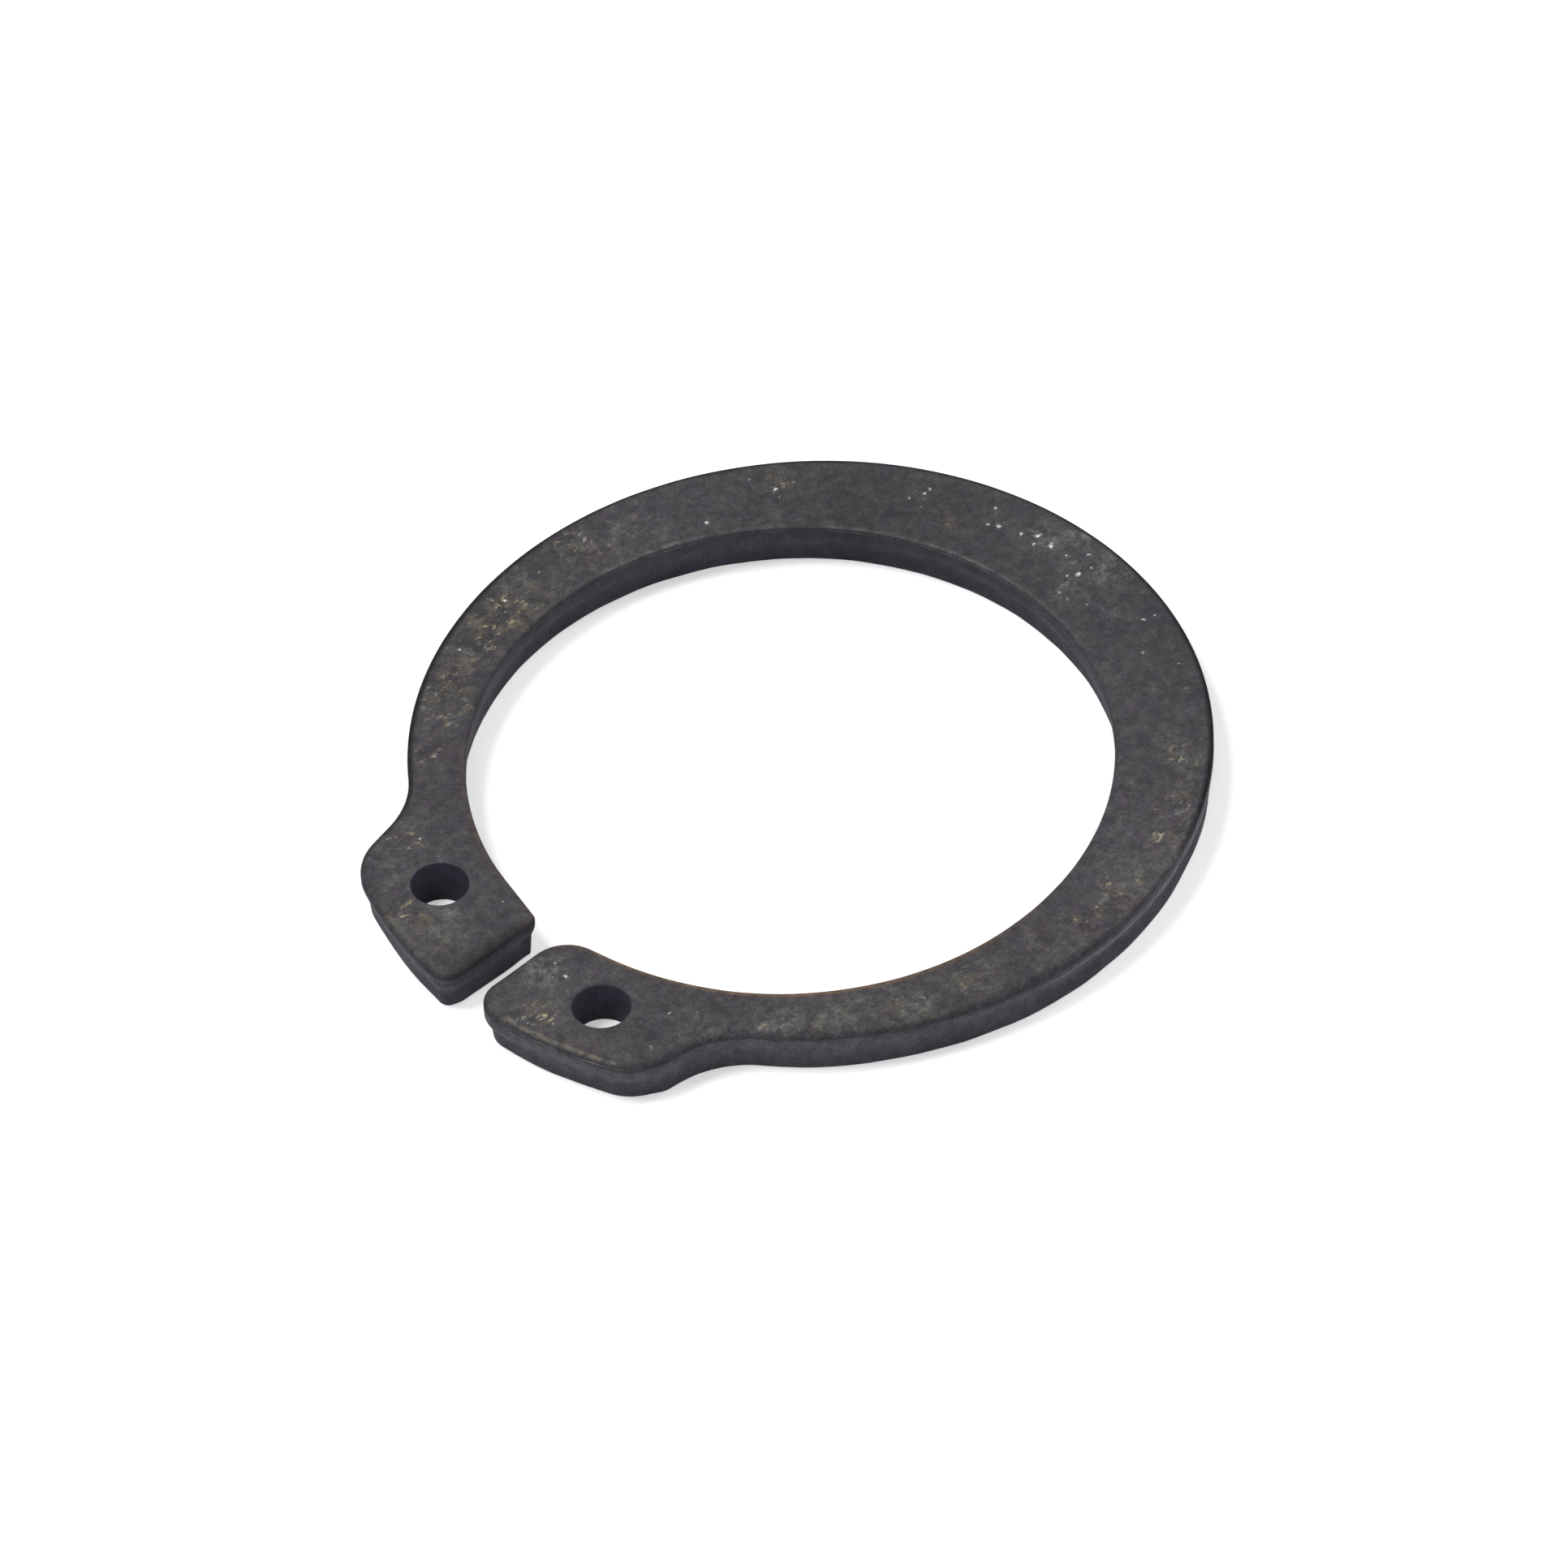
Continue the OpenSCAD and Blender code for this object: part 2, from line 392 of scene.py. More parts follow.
def speck_points(grid, loop, holes):
    """Adds each speck to a face as a middle point and a ring of six, and gives their brightness"""
    edge = np.vstack([loop] + holes)
    points, bright = [], []
    for x, y, r in speck_list():
        spot = np.array([[x, y]])
        clear = inside(spot, loop)[0] and clear_of(spot, edge, speck_clearance * r + fine_step)[0]
        if clear and (not points or clear_of(spot, np.array(points), speck_spacing * r)[0]):
            turn = 400 * x
            ring = [spot[0] + speck_ring * r * direction(60 * k + turn) for k in range(6)]
            points += [spot[0]] + ring
            bright += [min(1.0, 0.35 + 8 * r)] + [0.0] * 6
    points = np.array(points)
    grid = grid[clear_of(grid, points, speck_gap)]
    return np.vstack([grid, points]), np.concatenate([np.zeros(len(grid)), bright])


class Shape:
    """Vertices, faces and the named values that each vertex carries"""

    def __init__(self):
        self.places = []
        self.faces = []
        self.depth = []
        self.torn = []
        self.rim = []
        self.speck = []

    def add(self, points, heights, depth=0.0, torn=0.0, rim=0.0, speck=0.0):
        """Adds points and gives their numbers"""
        start = len(self.places)
        count = len(points)
        self.places += [(x, y, z) for (x, y), z in zip(points, np.broadcast_to(heights, count))]
        self.depth += list(np.broadcast_to(depth, count))
        self.torn += list(np.broadcast_to(torn, count))
        self.rim += list(np.broadcast_to(rim, count))
        self.speck += list(np.broadcast_to(speck, count))
        return list(range(start, start + count))

    def skin(self, upper, lower):
        """Quads between two rows, with the outside on the right of their way"""
        count = len(upper)
        for i in range(count):
            j = (i + 1) % count
            self.faces.append((upper[i], lower[i], lower[j], upper[j]))

    def cap(self, loops, extra, up):
        """Triangles over a flat face with holes, through the extra points"""
        numbers = [n for loop in loops for n in loop] + extra
        flat = [Vector(self.places[n][:2]) for n in numbers]
        edges, start = [], 0
        for loop in loops:
            count = len(loop)
            edges += [(start + i, start + (i + 1) % count) for i in range(count)]
            start += count
        points, _, faces, origin, _, _ = geometry.delaunay_2d_cdt(flat, edges, [], 0, one_point)
        middles = np.array([sum((points[v] for v in f), Vector((0, 0))) / 3 for f in faces])
        rims = [np.array([self.places[n][:2] for n in loop]) for loop in loops]
        keep = inside(middles, rims[0])
        for rim in rims[1:]:
            keep &= ~inside(middles, rim)
        for face, kept in zip(faces, keep):
            if kept:
                corners = [numbers[origin[v][0]] for v in face]
                self.faces.append(tuple(corners if up else reversed(corners)))


def build_ring():
    """The ring as one closed mesh"""
    shape = Shape()
    outline = ring_outline()
    normal = inward(outline)
    rows = []
    for inset, *values in edge_rows(outline):
        rows.append(shape.add(outline + normal * inset[:, None], *values))
    for upper, lower in zip(rows, rows[1:]):
        shape.skin(upper, lower)
    top, bottom = [rows[0]], [rows[-1]]
    for centre, rim, foot in zip(hole_centres, hole_rims, hole_feet):
        around = np.array([direction(-360 * k / hole_steps) for k in range(hole_steps)])
        ragged = 1 + 0.01 * ripple(centre + around, 0.3, 70)
        turns = [
            shape.add(centre + around * (r * (ragged[:, None] if torn else 1)), z, depth, torn)
            for r, z, depth, torn in hole_rows(rim, foot)
        ]
        for upper, lower in zip(turns, turns[1:]):
            shape.skin(upper, lower)
        top.append(turns[0])
        bottom.append(turns[-1])
    loops = [np.array([shape.places[n][:2] for n in loop]) for loop in top]
    grid = face_grid(loops[0], loops[1:], edge_gap)
    grid, bright = speck_points(grid, loops[0], loops[1:])
    dip = 0.004 * (1 + ripple(grid, 1.2, 80)) + 0.003 * (1 + ripple(grid, 0.4, 90))
    extra = shape.add(grid, thickness - dip, speck=bright)
    shape.cap(top, extra, True)
    shape.cap(bottom, [], False)
    return shape


# Where the coat differs over the ring, as (x, y, reach, strength) in plan
ochre_places = [
    (-9.8, 9.0, 1.2, 0.6), (-4.5, 11.7, 1.0, 0.5), (-12.8, 1.8, 1.4, 0.7), (-12.1, -1.6, 1.2, 0.9),
    (-11.9, -2.9, 1.1, 1.0), (-11.2, -5.2, 1.0, 0.7), (-10.6, -6.5, 1.0, 0.8), (-9.4, -8.8, 0.9, 0.3),
    (-7.7, -10.0, 0.6, 0.5), (-6.5, -11.7, 0.8, 0.7), (-3.6, -14.3, 0.9, 0.8), (-1.8, -14.6, 0.9, 0.5),
    (3.0, -14.7, 0.9, 1.0), (5.2, -14.4, 1.0, 0.6), (9.6, 9.4, 0.8, 0.7), (10.7, 8.1, 0.8, 0.6),
    (11.7, 6.1, 0.9, 0.7), (12.6, 3.6, 0.9, 0.8), (12.7, 1.8, 0.9, 0.8), (12.6, -0.1, 0.8, 0.7),
    (12.1, -2.9, 0.9, 0.7), (11.5, -5.0, 0.8, 0.6), (11.2, -6.4, 0.8, 0.5), (9.8, -8.0, 0.8, 0.6),
    (-7.0, 10.8, 1.4, 0.3),
]
stroke_places = [
    (-9.8, 8.7, 0.8, 0.5), (-12.9, 1.7, 0.9, 0.8), (-12.0, -1.8, 0.9, 0.9), (-11.9, -2.8, 0.8, 0.8),
    (-11.5, -4.0, 0.8, 0.5), (-10.8, -6.2, 0.8, 0.8), (-10.1, -6.8, 0.8, 0.8), (-9.2, -8.6, 0.8, 0.5),
    (-6.4, -12.1, 0.8, 0.9), (-4.5, 11.6, 0.5, 0.6), (-3.9, -14.2, 0.6, 0.8), (3.0, -14.7, 0.8, 1.1),
    (7.2, 11.9, 0.25, 0.8), (9.6, 9.4, 0.6, 1.0), (11.2, 7.5, 0.6, 0.9), (11.8, 6.4, 0.6, 0.8),
    (12.5, 3.6, 0.6, 1.0), (12.7, 1.9, 0.7, 0.9), (12.0, -3.0, 0.8, 0.4), (11.6, -5.2, 0.8, 0.6),
    (-12.8, 4.0, 1.2, 0.4), (8.9, -9.2, 0.8, 0.4),
]
haze_places = [
    (-1.6, 13.4, 0.8, 0.9), (-3.4, 13.0, 0.5, 0.5), (-6.1, 11.9, 0.5, 0.5), (-0.6, 14.5, 0.7, 1.0),
    (1.3, 14.1, 0.8, 1.2), (0.9, 12.2, 0.6, 1.0), (-0.1, 13.3, 0.5, 0.8), (2.9, 12.6, 0.4, 0.5),
    (6.5, 11.3, 0.5, 0.6), (-9.8, 9.1, 0.6, 0.6), (-5.6, -10.9, 0.3, 0.8), (-6.4, -13.1, 0.4, 0.9),
    (-5.3, -13.6, 0.4, 0.6), (-2.7, -13.2, 0.3, 0.8), (2.7, -13.9, 0.3, 0.9), (5.9, -11.2, 0.3, 0.8),
    (6.5, -10.5, 0.3, 0.8), (6.6, -12.6, 0.3, 0.8), (1.5, -12.8, 0.8, 1.2), (7.2, -11.4, 0.7, 0.6),
    (11.6, -4.9, 0.7, 0.9), (6.2, -13.5, 0.5, 0.7), (9.0, -9.0, 1.1, 0.7), (10.4, -7.5, 0.9, 0.6),
    (7.9, -10.6, 0.9, 0.3), (9.6, 9.3, 0.5, 0.8), (11.3, 7.4, 0.5, 0.6), (-13.3, -0.9, 0.9, 0.7),
    (-10.3, -3.9, 0.6, 0.6), (-2.0, -14.0, 0.9, 0.6), (-11.2, -7.0, 1.0, 0.4), (12.2, 4.5, 1.3, 0.4),
]
mottled_places = [
    (-12.0, 0.5, 4.5, 0.8), (-11.0, -5.5, 3.5, 0.8), (10.8, 8.5, 3.5, 0.5), (13.0, 2.0, 4.0, 0.6),
    (12.0, -3.5, 3.0, 0.7), (10.3, -7.2, 2.5, 0.9), (3.5, -13.5, 2.5, 0.4), (-3.5, -13.5, 2.5, 0.6),
    (-9.5, 9.5, 3.0, 0.5), (1.0, 13.5, 2.5, 0.3),
]
dark_places = [
    (-4.5, 12.0, 5.0, 0.12), (4, 12.5, 3.5, 0.05), (-13.6, -2.5, 2.5, 0.12), (-11.0, -1.0, 2.0, 0.05),
    (-6.9, 8.9, 2.5, 0.14), (-8.6, 9.4, 2.0, 0.05), (-1.0, -14.4, 0.6, 0.20), (-0.9, -13.4, 0.5, 0.14),
]
bright_places = [
    (11.7, 5.2, 3.0, 0.24), (12.5, 0.5, 3.0, 0.06), (9.5, -8.5, 3.0, 0.10), (-1.5, 13.5, 3.5, 0.06),
    (-12.6, 4.2, 2.2, 0.16), (4.5, 10.0, 2.5, 0.10), (2.5, -13.5, 2.5, 0.20), (-3.7, -13.8, 2.2, 0.22),
    (-6.5, -13, 2, 0.10), (-8.5, -9.5, 2.5, 0.14), (-11.5, -4.5, 2.5, 0.04), (-1.0, 13.6, 1.5, 0.06),
    (5.0, -15.3, 1.2, 0.10), (5.2, 9.8, 1.5, 0.06),
]
# Lines along the top edge: pale on the back of the bore and olive on the lugs and the near
# right edge, both partly wear and partly a painted highlight on the rolled edge; and brown,
# worn, on the bore's near side
pale_edges = [
    (-3.2, 10.7, 2.6, 1.2), (-6.8, 9.1, 0.9, 1.0), (-11.0, 2.1, 0.8, 1.2), (-10.4, 4.0, 0.9, 1.2),
    (-8.8, 6.9, 1.4, 0.5), (-10.9, -1.0, 1.6, 0.5), (1.5, 11.1, 2.2, 0.4),
]
brown_edges = [(7, -8.6, 4, 1.4), (10.4, -3.8, 4, 1.0), (3.0, -11.0, 2.5, 0.9), (-5, -10, 3.5, 0.4)]
olive_edges = [
    (3.6, -15.1, 1.6, 0.8), (5.8, -14.5, 0.9, 0.9), (-3.2, -15.2, 2.2, 0.25), (12.4, -6.2, 2.0, 0.3),
]
# Painted shade on the left lug's end face, in the gap between the lugs: darker than the outer wall
painted_end_shade = [(-0.5, -12.3, 1.1, 0.6), (-0.5, -14.1, 1.1, 0.6)]
# Painted highlight: a pale line along the outer wall where its ridge catches the light
ridge_highlight_places = [(12.5, 6.8, 2.2, 0.8), (13.5, 1.5, 3.2, 1.0)]


def paint_values(places):
    """The values that the finish reads at each vertex, from its place in plan"""
    outer = smooth((np.hypot(*places[:, :2].T) - bore_r - 0.5) / 0.6)
    facing_in = 1 - outer
    far_side = smooth((places[:, 1] - places[:, 0] + 8) / 6)
    ends = near(places, painted_end_shade)
    return {
        "ochre": near(places, ochre_places),
        "stroke": near(places, stroke_places),
        "haze": near(places, haze_places),
        "mottle": near(places, mottled_places),
        "tone": 1 - near(places, dark_places) + near(places, bright_places),
        # The left lug's end face takes the painted shade of the walls that face in
        "facing_in": facing_in + ends,
        # Painted shade on the rolled edge: a little all round, more on the far outer edge and lug end
        "edge_shade_amount": 0.1 + 0.8 * outer * far_side + ends,
        "pale_edge": near(places, pale_edges) * facing_in,
        "brown_edge": near(places, brown_edges) * facing_in,
        "olive_edge": near(places, olive_edges) * outer,
        # Painted highlight along the ridge of the outer wall
        "ridge_highlight": near(places, ridge_highlight_places) * outer,
    }


def make_object(shape, name):
    """The shape in metres, with the values that the finish reads at each vertex"""
    places = np.array(shape.places)
    mesh = bpy.data.meshes.new(name)
    mesh.from_pydata((places * MM).tolist(), [], shape.faces)
    values = {"depth": shape.depth, "torn": shape.torn, "rim": shape.rim, "speck": shape.speck}
    values.update(paint_values(places))
    for key, numbers in values.items():
        layer = mesh.attributes.new(key, "FLOAT", "POINT")
        layer.data.foreach_set("value", np.array(numbers, float))
    mesh.polygons.foreach_set("use_smooth", [True] * len(mesh.polygons))
    mesh.update()
    piece = bpy.data.objects.new(name, mesh)
    bpy.context.scene.collection.objects.link(piece)
    return piece


class Finish:
    """Short ways to add and join the nodes of a material or of the surroundings"""

    def __init__(self, owner):
        owner.use_nodes = True
        self.owner = owner
        self.tree = owner.node_tree
        self.tree.nodes.clear()

    def node(self, kind, inputs=None, **settings):
        made = self.tree.nodes.new(kind)
        for key, value in settings.items():
            setattr(made, key, value)
        for key, value in (inputs or {}).items():
            self.feed(made.inputs[key], value)
        return made

    def feed(self, socket, value):
        if isinstance(value, bpy.types.NodeSocket):
            self.tree.links.new(value, socket)
        elif hasattr(socket.default_value, "__len__") and len(value) == 3 and socket.type == "RGBA":
            socket.default_value = (*value, 1)
        else:
            socket.default_value = value

    def combine(self, operation, a, b=0.0):
        return self.node("ShaderNodeMath", {0: a, 1: b}, operation=operation).outputs[0]

    def times(self, a, b):
        return self.combine("MULTIPLY", a, b)

    def mix(self, factor, a, b, blend="MIX"):
        made = self.node("ShaderNodeMix", data_type="RGBA", blend_type=blend, clamp_factor=True)
        for socket, value in zip((made.inputs[0], made.inputs[6], made.inputs[7]), (factor, a, b)):
            self.feed(socket, value)
        return made.outputs[2]

    def between(self, value, low, high, start=0.0, end=1.0):
        """value brought from the span low to high to the span start to end, with soft ends"""
        made = self.node("ShaderNodeMapRange", interpolation_type="SMOOTHSTEP", clamp=True)
        for socket, given in zip(made.inputs[:5], (value, low, high, start, end)):
            self.feed(socket, given)
        return made.outputs[0]

    def value(self, name):
        """A value that the vertices carry"""
        kind = {"attribute_name": name, "attribute_type": "GEOMETRY"}
        return self.node("ShaderNodeAttribute", **kind).outputs["Fac"]

    def place(self, stretch=(1, 1, 1)):
        """Coordinates in millimetres"""
        at = self.node("ShaderNodeTexCoord").outputs["Object"]
        scale = tuple(s / MM for s in stretch)
        return self.node("ShaderNodeMapping", {"Vector": at, "Scale": scale}).outputs[0]

    def noise(self, size, detail=3.0, roughness=0.5, seed=0.0, at=None):
        inputs = {"Vector": at or self.place(), "W": seed, "Scale": 1 / size, "Detail": detail}
        inputs["Roughness"] = roughness
        return self.node("ShaderNodeTexNoise", inputs, noise_dimensions="4D").outputs[0]

    def dots(self, size, seed, share, r):
        """Small round dots, in a share of the cells of a given size"""
        shift = {0: self.place(), 1: (seed, seed, 0)}
        at = self.node("ShaderNodeVectorMath", shift, operation="ADD").outputs[0]
        cells = self.node("ShaderNodeTexVoronoi", {"Vector": at, "Scale": 1 / size})
        chosen = self.between(cells.outputs["Color"], 1 - share, 1 - share + 0.02)
        return self.times(chosen, self.between(cells.outputs["Distance"], r / size, 0.4 * r / size))


# Colours of the top face: the coat and the marks on it
dark_coat = (0.0405, 0.0355, 0.0450)
light_coat = (0.0500, 0.0450, 0.0530)
olive_coat = (0.058, 0.057, 0.051)
grey_cloud = (0.080, 0.077, 0.071)
grey_fleck = (0.105, 0.103, 0.098)
ochre_stain = (0.120, 0.104, 0.070)
green_veil = (0.135, 0.140, 0.126)
khaki_flake = (0.31, 0.255, 0.155)
green_flake = (0.225, 0.230, 0.180)
black_pit = (0.022, 0.020, 0.027)
small_dot = (0.21, 0.20, 0.18)
pale_dot = (0.28, 0.29, 0.27)
dull_speck = (0.26, 0.27, 0.25)
white_speck = (0.62, 0.66, 0.62)
# Colours of the walls from the top down, their marks, a painted highlight, the side that faces in
# and the plier holes
wall_top = (0.054, 0.050, 0.058)
wall_line = (0.033, 0.029, 0.038)
wall_band = (0.065, 0.060, 0.072)
wall_foot = (0.038, 0.033, 0.046)
# Painted highlight along the ridge of the outer wall
ridge_highlight_colour = (0.135, 0.140, 0.160)
wall_streak = (0.078, 0.073, 0.078)
wall_dot = (0.14, 0.13, 0.125)
# Also used as painted shade on the left lug's end face
inner_wall = (0.014, 0.010, 0.021)
hole_wall = (0.034, 0.032, 0.050)
# Colours of the rolled edge: its painted shade, and the lines along it, the brown one worn and
# the pale and olive ones partly worn and partly a painted highlight
rolled_edge_shade = (0.014, 0.012, 0.015)
pale_rub_and_highlight = (0.100, 0.095, 0.097)
brown_rub = (0.125, 0.080, 0.053)
olive_rub_and_highlight = (0.150, 0.145, 0.115)
# Radius of the small dots and height of the relief
dot_r = 0.045
relief_height = 0.012 * MM


def speck_strength(f):
    """The white specks, with ragged outlines"""
    ragged = f.between(f.noise(0.11, 4, 0.75, 10, f.place((1, 0.6, 1))), 0.32, 0.68, -0.9, 0.38)
    return f.between(f.combine("ADD", f.times(f.value("speck"), 1.5), ragged), 0.4, 0.85)


def coat_colour(f, patch, bright):
    """Top face, from the plain coat to its marks"""
    mottle = f.value("mottle")
    coat = f.mix(f.between(patch, 0.35, 0.65), dark_coat, light_coat)
    hue = f.between(f.noise(0.5, 4, 0.65, 17), 0.42, 0.60)
    coat = f.mix(f.times(hue, 0.5), coat, olive_coat)
    clouds = f.between(f.noise(0.7, 6, 0.7, 4), 0.5, 0.62)
    coat = f.mix(f.times(clouds, f.between(mottle, 0, 1, 0.12, 0.7)), coat, grey_cloud)
    flecks = f.between(f.noise(0.45, 7, 0.8, 3), 0.54, 0.62)
    coat = f.mix(f.times(flecks, f.between(mottle, 0, 1, 0.16, 0.75)), coat, grey_fleck)
    stains = f.between(f.noise(0.5, 6, 0.75, 6), 0.50, 0.64)
    coat = f.mix(f.times(stains, f.between(f.value("ochre"), 0, 1, 0.04, 0.8)), coat, ochre_stain)
    veils = f.between(f.noise(0.4, 6, 0.75, 7), 0.44, 0.62)
    coat = f.mix(f.times(veils, f.between(f.value("haze"), 0, 1, 0.0, 0.8)), coat, green_veil)
    flakes = f.between(f.noise(0.18, 4, 0.7, 5, f.place((1, 0.55, 1))), 0.55, 0.63)
    flakes = f.times(flakes, f.between(f.noise(0.6, 2, 0.5, 8), 0.40, 0.50))
    flakes = f.times(flakes, f.between(f.value("stroke"), 0, 0.8, 0.03, 0.95))
    tint = f.mix(f.between(f.noise(0.5, 2, 0.5, 19), 0.42, 0.56), khaki_flake, green_flake)
    coat = f.mix(flakes, coat, tint)
    pits = f.between(f.noise(0.16, 3, 0.5, 9), 0.38, 0.27)
    coat = f.mix(f.times(pits, 0.6), coat, black_pit)
    coat = f.mix(f.times(f.dots(0.34, 3.7, 0.12, dot_r), 0.45), coat, small_dot)
    coat = f.mix(f.times(f.dots(0.9, 8.1, 0.10, dot_r), 0.7), coat, pale_dot)
    specks = f.mix(f.between(f.value("speck"), 0.4, 0.85), dull_speck, white_speck)
    return f.mix(bright, coat, specks)


def wall_colour(f, depth, facing_in, outward, streaks):
    """Walls: a dark line under the rolled edge, a smooth band, then the torn part, with a painted
    highlight along the ridge of the outer wall and painted shade on the left lug's end face
    """
    waver = f.between(f.noise(0.6, 4, 0.6, 11), 0.2, 0.8, -0.04, 0.04)
    level = f.combine("ADD", depth, waver)
    wall = f.mix(f.times(f.between(level, 0.05, 0.11), outward), wall_top, wall_line)
    wall = f.mix(f.between(level, 0.13, 0.22), wall, wall_band)
    wall = f.mix(f.between(level, 0.30, 0.85), wall, wall_foot)
    line = f.times(f.between(level, 0.24, 0.29), f.between(level, 0.36, 0.31))
    # Painted highlight: a pale bluish line where the ridge of the outer wall catches the light
    wall = f.mix(f.times(line, f.value("ridge_highlight")), wall, ridge_highlight_colour)
    torn = f.between(f.value("torn"), 0, 1, 0.2, 0.45)
    wall = f.mix(f.times(f.between(streaks, 0.5, 0.75), torn), wall, wall_streak)
    # The walls that face in are darker; on the left lug's end face this is painted shade
    wall = f.mix(f.times(facing_in, 0.6), wall, inner_wall)
    wall = f.mix(f.times(f.dots(0.4, 5.3, 0.12, dot_r), 0.6), wall, wall_dot)
    return f.mix(f.between(depth, 1.02, 1.2), wall, hole_wall)


def edge_shade_highlight_and_wear(f, colour, depth, rim):
    """Rolled edge: painted shade round the ring, deepest on the far outer edge and at the left lug's
    end, with a worn brown line and pale and olive lines that are partly wear and partly painted
    highlight
    """
    rubbed = f.between(f.noise(0.35, 4, 0.7, 13), 0.34, 0.62)
    broken = f.between(rubbed, 0, 1, 0.3, 1)
    pale = f.times(f.between(rim, 0.25, 0.55), f.between(rim, 0.98, 0.75))
    brown = f.times(f.between(rim, 0.35, 0.7), f.between(depth, 0.055, 0.035))
    olive = f.times(f.between(rim, 0.4, 0.6), f.between(rim, 0.95, 0.75))
    # Painted shade on the rolled edge, then the lines along it
    dark = f.times(f.between(rim, 0.2, 0.75), f.value("edge_shade_amount"))
    colour = f.mix(dark, colour, rolled_edge_shade)
    # Lines along the edge: brown from wear, pale and olive partly wear and partly painted highlight
    for name, line, tint in (
        ("pale_edge", pale, pale_rub_and_highlight),
        ("brown_edge", brown, brown_rub),
        ("olive_edge", olive, olive_rub_and_highlight),
    ):
        colour = f.mix(f.times(f.times(line, broken), f.value(name)), colour, tint)
    return colour


def uneven_shade(f):
    """Lighter and darker places of the coat in three sizes, as a grey"""
    grain = f.between(f.noise(0.1, 3, 0.7, 1), 0.3, 0.7, 0.74, 1.28)
    blotch = f.between(f.noise(0.42, 3, 0.6, 16), 0.32, 0.68, 0.79, 1.22)
    wide = f.between(f.noise(1.8, 3, 0.5, 18), 0.35, 0.65, 0.92, 1.08)
    shade = f.times(f.times(f.times(f.value("tone"), grain), blotch), wide)
    return f.node("ShaderNodeCombineColor", {0: shade, 1: shade, 2: shade}).outputs[0]


def steel_finish():
    """Dark grey phosphate coat, grained, mottled olive and brown, specked white, blue-black on the
    walls and rubbed at the edges, with painted shade on the rolled edge and painted highlights
    along edges and the outer wall's ridge"""
    f = Finish(bpy.data.materials.new("phosphated_steel"))
    depth, facing_in, rim = f.value("depth"), f.value("facing_in"), f.value("rim")
    outward = f.combine("SUBTRACT", 1.0, facing_in)
    patch = f.noise(0.9, 5, 0.6, 2)
    bright = speck_strength(f)
    streaks = f.noise(0.2, 4, 0.65, 12, f.place((1, 1, 0.6)))
    coat = coat_colour(f, patch, bright)
    wall = wall_colour(f, depth, facing_in, outward, streaks)
    colour = f.mix(f.between(depth, 0.02, 0.07), coat, wall)
    colour = edge_shade_highlight_and_wear(f, colour, depth, rim)
    colour = f.mix(1.0, colour, uneven_shade(f), "MULTIPLY")

    # Relief of the grain, the pits and the torn part
    fine = f.noise(0.06, 3, 0.6, 14)
    coarse = f.noise(0.25, 4, 0.6, 15)
    relief = f.combine("ADD", f.times(fine, 0.35), coarse)
    relief = f.combine("ADD", relief, f.times(f.times(streaks, f.value("torn")), 0.8))
    bump = f.node("ShaderNodeBump", {"Height": relief, "Strength": 0.5, "Distance": relief_height})

    # A dull gloss, smoother on the specks, and hardly any shine on the rolled outer edge
    dullness = f.combine("ADD", f.between(patch, 0.3, 0.7, 0.66, 0.78), f.times(bright, -0.2))
    shine = f.between(f.times(rim, outward), 0.4, 0.9, 0.20, 0.04)
    shader = f.node("ShaderNodeBsdfPrincipled", {
        "Base Color": colour, "Roughness": dullness, "Specular IOR Level": shine,
        "Normal": bump.outputs[0],
    })
    f.node("ShaderNodeOutputMaterial", {"Surface": shader.outputs[0]})
    return f.owner


def seen_directly(f):
    """1 for rays from the camera, mirrors and glass"""
    path = f.node("ShaderNodeLightPath")
    seen = f.combine("MAXIMUM", path.outputs["Is Camera Ray"], path.outputs["Is Glossy Ray"])
    return f.combine("MAXIMUM", seen, path.outputs["Is Transmission Ray"])


def make_floor():
    """White floor that goes to plain white away from the object's shadow"""
    f = Finish(bpy.data.materials.new("white_floor"))
    mesh = bpy.data.meshes.new("floor")
    corners = [(x * floor_half, y * floor_half, 0) for x, y in ((-1, -1), (1, -1), (1, 1), (-1, 1))]
    mesh.from_pydata(corners, [], [(0, 1, 2, 3)])
    floor = bpy.data.objects.new("floor", mesh)
    bpy.context.scene.collection.objects.link(floor)
    paper = f.node("ShaderNodeBsdfDiffuse", {"Color": (floor_tone, floor_tone, floor_tone)})
    lift = f.times(seen_directly(f), floor_lift)
    glow = f.node("ShaderNodeEmission", {"Color": (1.0, 1.0, 1.0), "Strength": lift})
    both = f.node("ShaderNodeAddShader", {0: paper.outputs[0], 1: glow.outputs[0]})
    f.node("ShaderNodeOutputMaterial", {"Surface": both.outputs[0]})
    mesh.materials.append(f.owner)


def make_world():
    """White surroundings: full white where seen, softer as light"""
    f = Finish(bpy.data.worlds.new("studio"))
    strength = f.between(seen_directly(f), 0, 1, sky_light, 1.0)
    back = f.node("ShaderNodeBackground", {"Color": (1.0, 1.0, 1.0), "Strength": strength})
    f.node("ShaderNodeOutputWorld", {"Surface": back.outputs[0]})
    bpy.context.scene.world = f.owner


# Light: soft lamps over a white sky. A lamp is its turn from the picture's left towards its back
# and its height, in degrees, its width in metres and its strength as a share of plain white.
sky_light = 0.3
lamps = [(5.0, 66.0, 0.42, 0.5), (150.0, 55.0, 0.4, 0.18), (-90.0, 28.0, 0.6, 0.1)]
lamp_away = 1.2
# Floor: half its side in metres, its tone, and the white added to it where it is seen
floor_half = 1.5
floor_tone = 0.86
floor_lift = 0.41

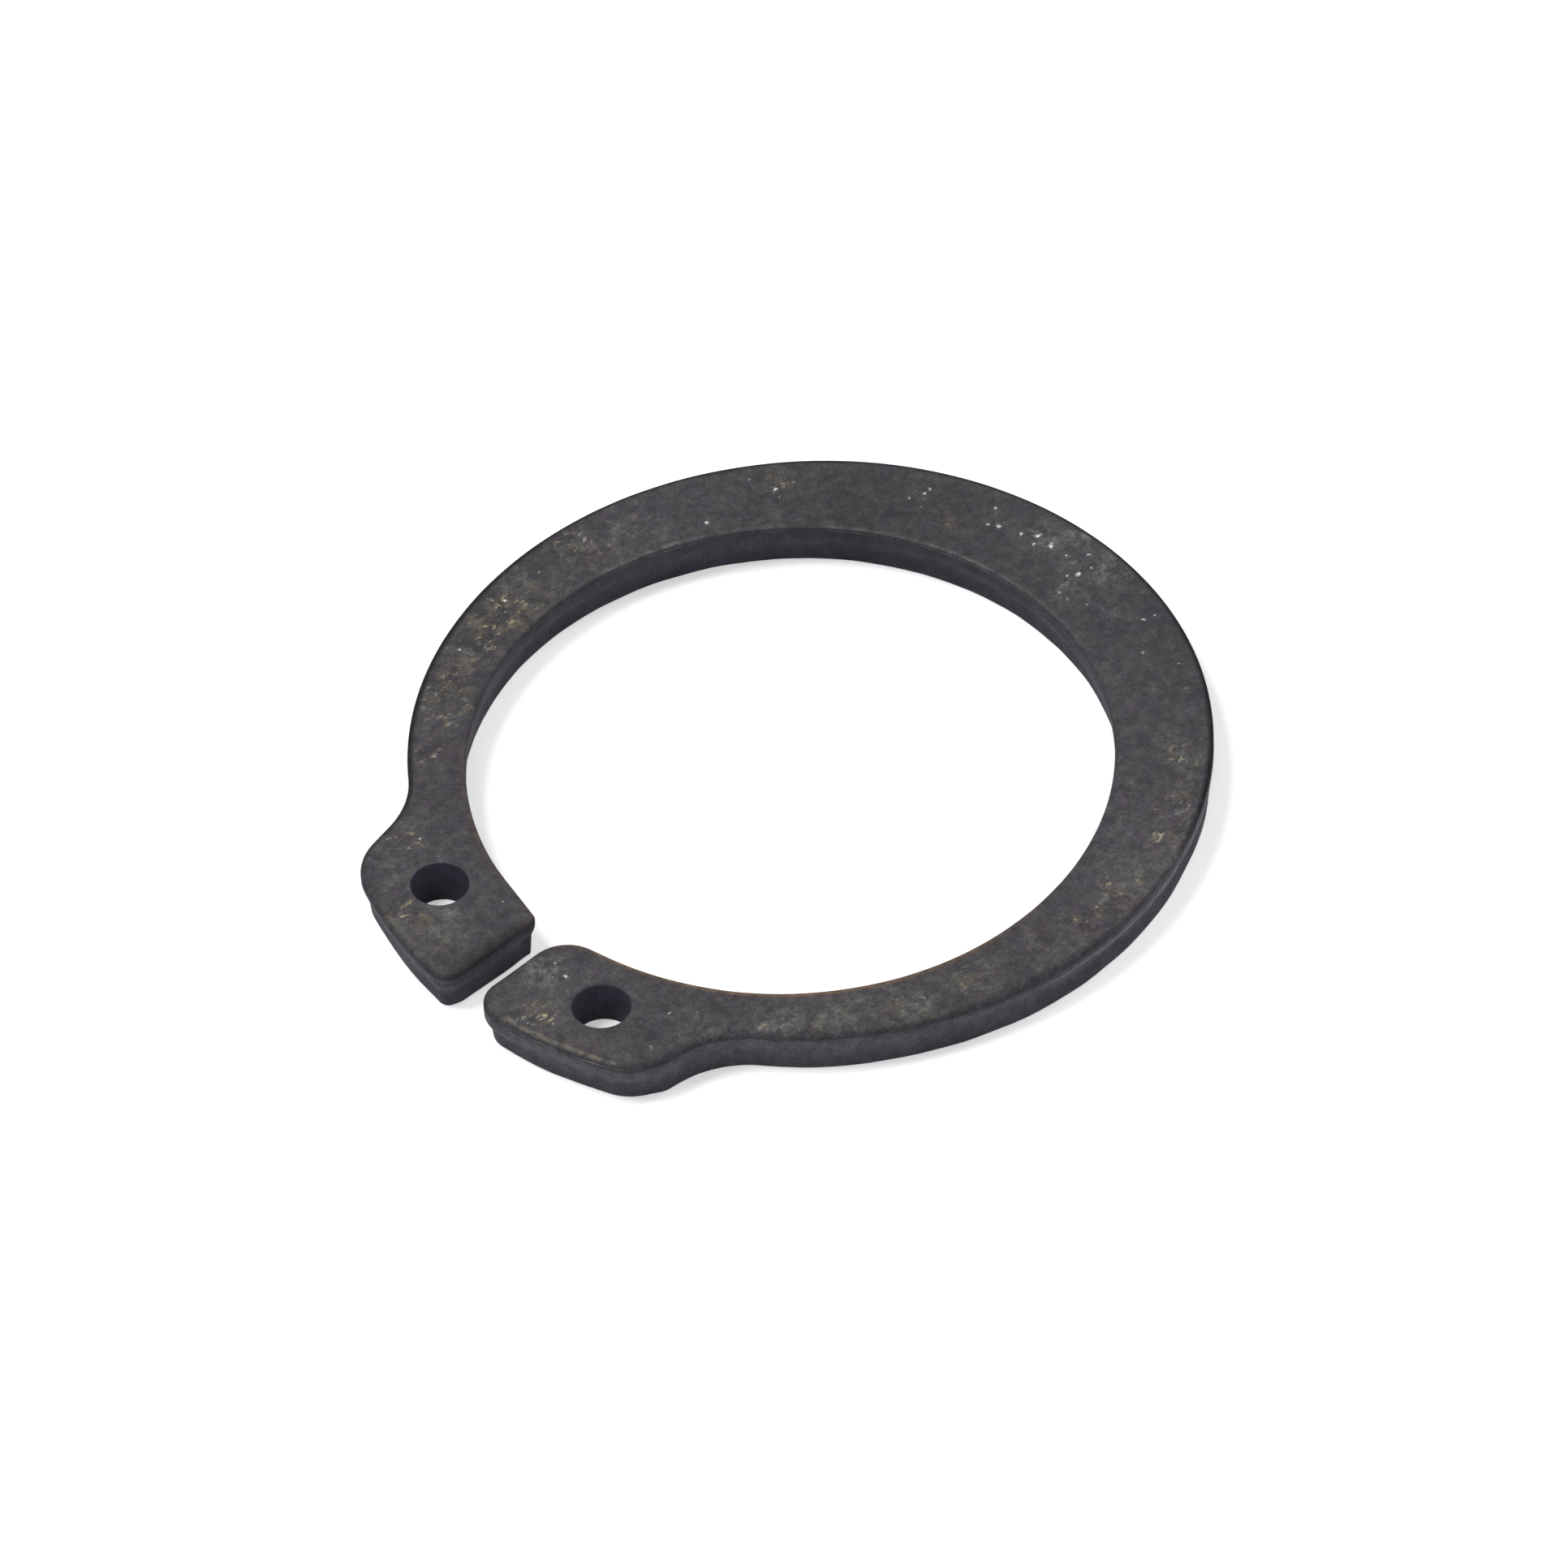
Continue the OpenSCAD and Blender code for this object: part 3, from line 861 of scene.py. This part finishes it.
# Camera, measured from the photograph: its distance and aim in millimetres, its angles in degrees
picture_side = 1932
focal_pixels = 20000
sensor_mm = 36.0
aim = Vector((-0.473, 0.070, 0.0)) * MM
camera_away = 556.2 * MM
camera_down = 45.58
camera_roll = -3.063
# The camera looks along this direction in plan, in degrees from the X axis
camera_heading = 139.0
# Nearest and furthest that it sees, in metres
camera_reach = (0.01, 10)


def make_camera():
    """The camera at the photograph's viewing angle. Gives the level direction of its picture."""
    down, heading = math.radians(camera_down), math.radians(camera_heading)
    forward = Vector((
        math.cos(heading) * math.cos(down),
        math.sin(heading) * math.cos(down),
        -math.sin(down),
    ))
    level = Vector((math.sin(heading), -math.cos(heading), 0))
    roll = math.radians(camera_roll)
    above = level.cross(forward)
    right = math.cos(roll) * level + math.sin(roll) * above
    up = math.cos(roll) * above - math.sin(roll) * level
    data = bpy.data.cameras.new("camera")
    data.sensor_width = sensor_mm
    data.lens = focal_pixels / picture_side * sensor_mm
    data.clip_start, data.clip_end = camera_reach
    camera = bpy.data.objects.new("camera", data)
    bpy.context.scene.collection.objects.link(camera)
    turn = Matrix((right, up, -forward)).transposed().to_4x4()
    camera.matrix_world = Matrix.Translation(aim - forward * camera_away) @ turn
    bpy.context.scene.camera = camera
    return level


def make_lamps(level):
    """Round soft lamps that look at the ring, placed from the camera's level direction"""
    back = Vector((0, 0, 1)).cross(level)
    for number, (turn, height, width, share) in enumerate(lamps):
        turn, height = math.radians(turn), math.radians(height)
        side = (back * math.sin(turn) - level * math.cos(turn)) * math.cos(height)
        side.z = math.sin(height)
        data = bpy.data.lights.new(f"soft_lamp_{number}", "AREA")
        data.shape = "DISK"
        data.size = width
        data.energy = share * (math.pi * lamp_away) ** 2 / math.sin(height)
        lamp = bpy.data.objects.new(data.name, data)
        bpy.context.scene.collection.objects.link(lamp)
        lamp.location = side * lamp_away
        lamp.rotation_mode = "QUATERNION"
        lamp.rotation_quaternion = side.to_track_quat("Z", "Y")


ring = make_object(build_ring(), "retaining_ring_surface")
ring.data.materials.append(steel_finish())
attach(ring, "root")
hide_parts("retaining_ring")

make_floor()
make_world()
make_lamps(make_camera())
bpy.context.scene.view_settings.view_transform = "Standard"
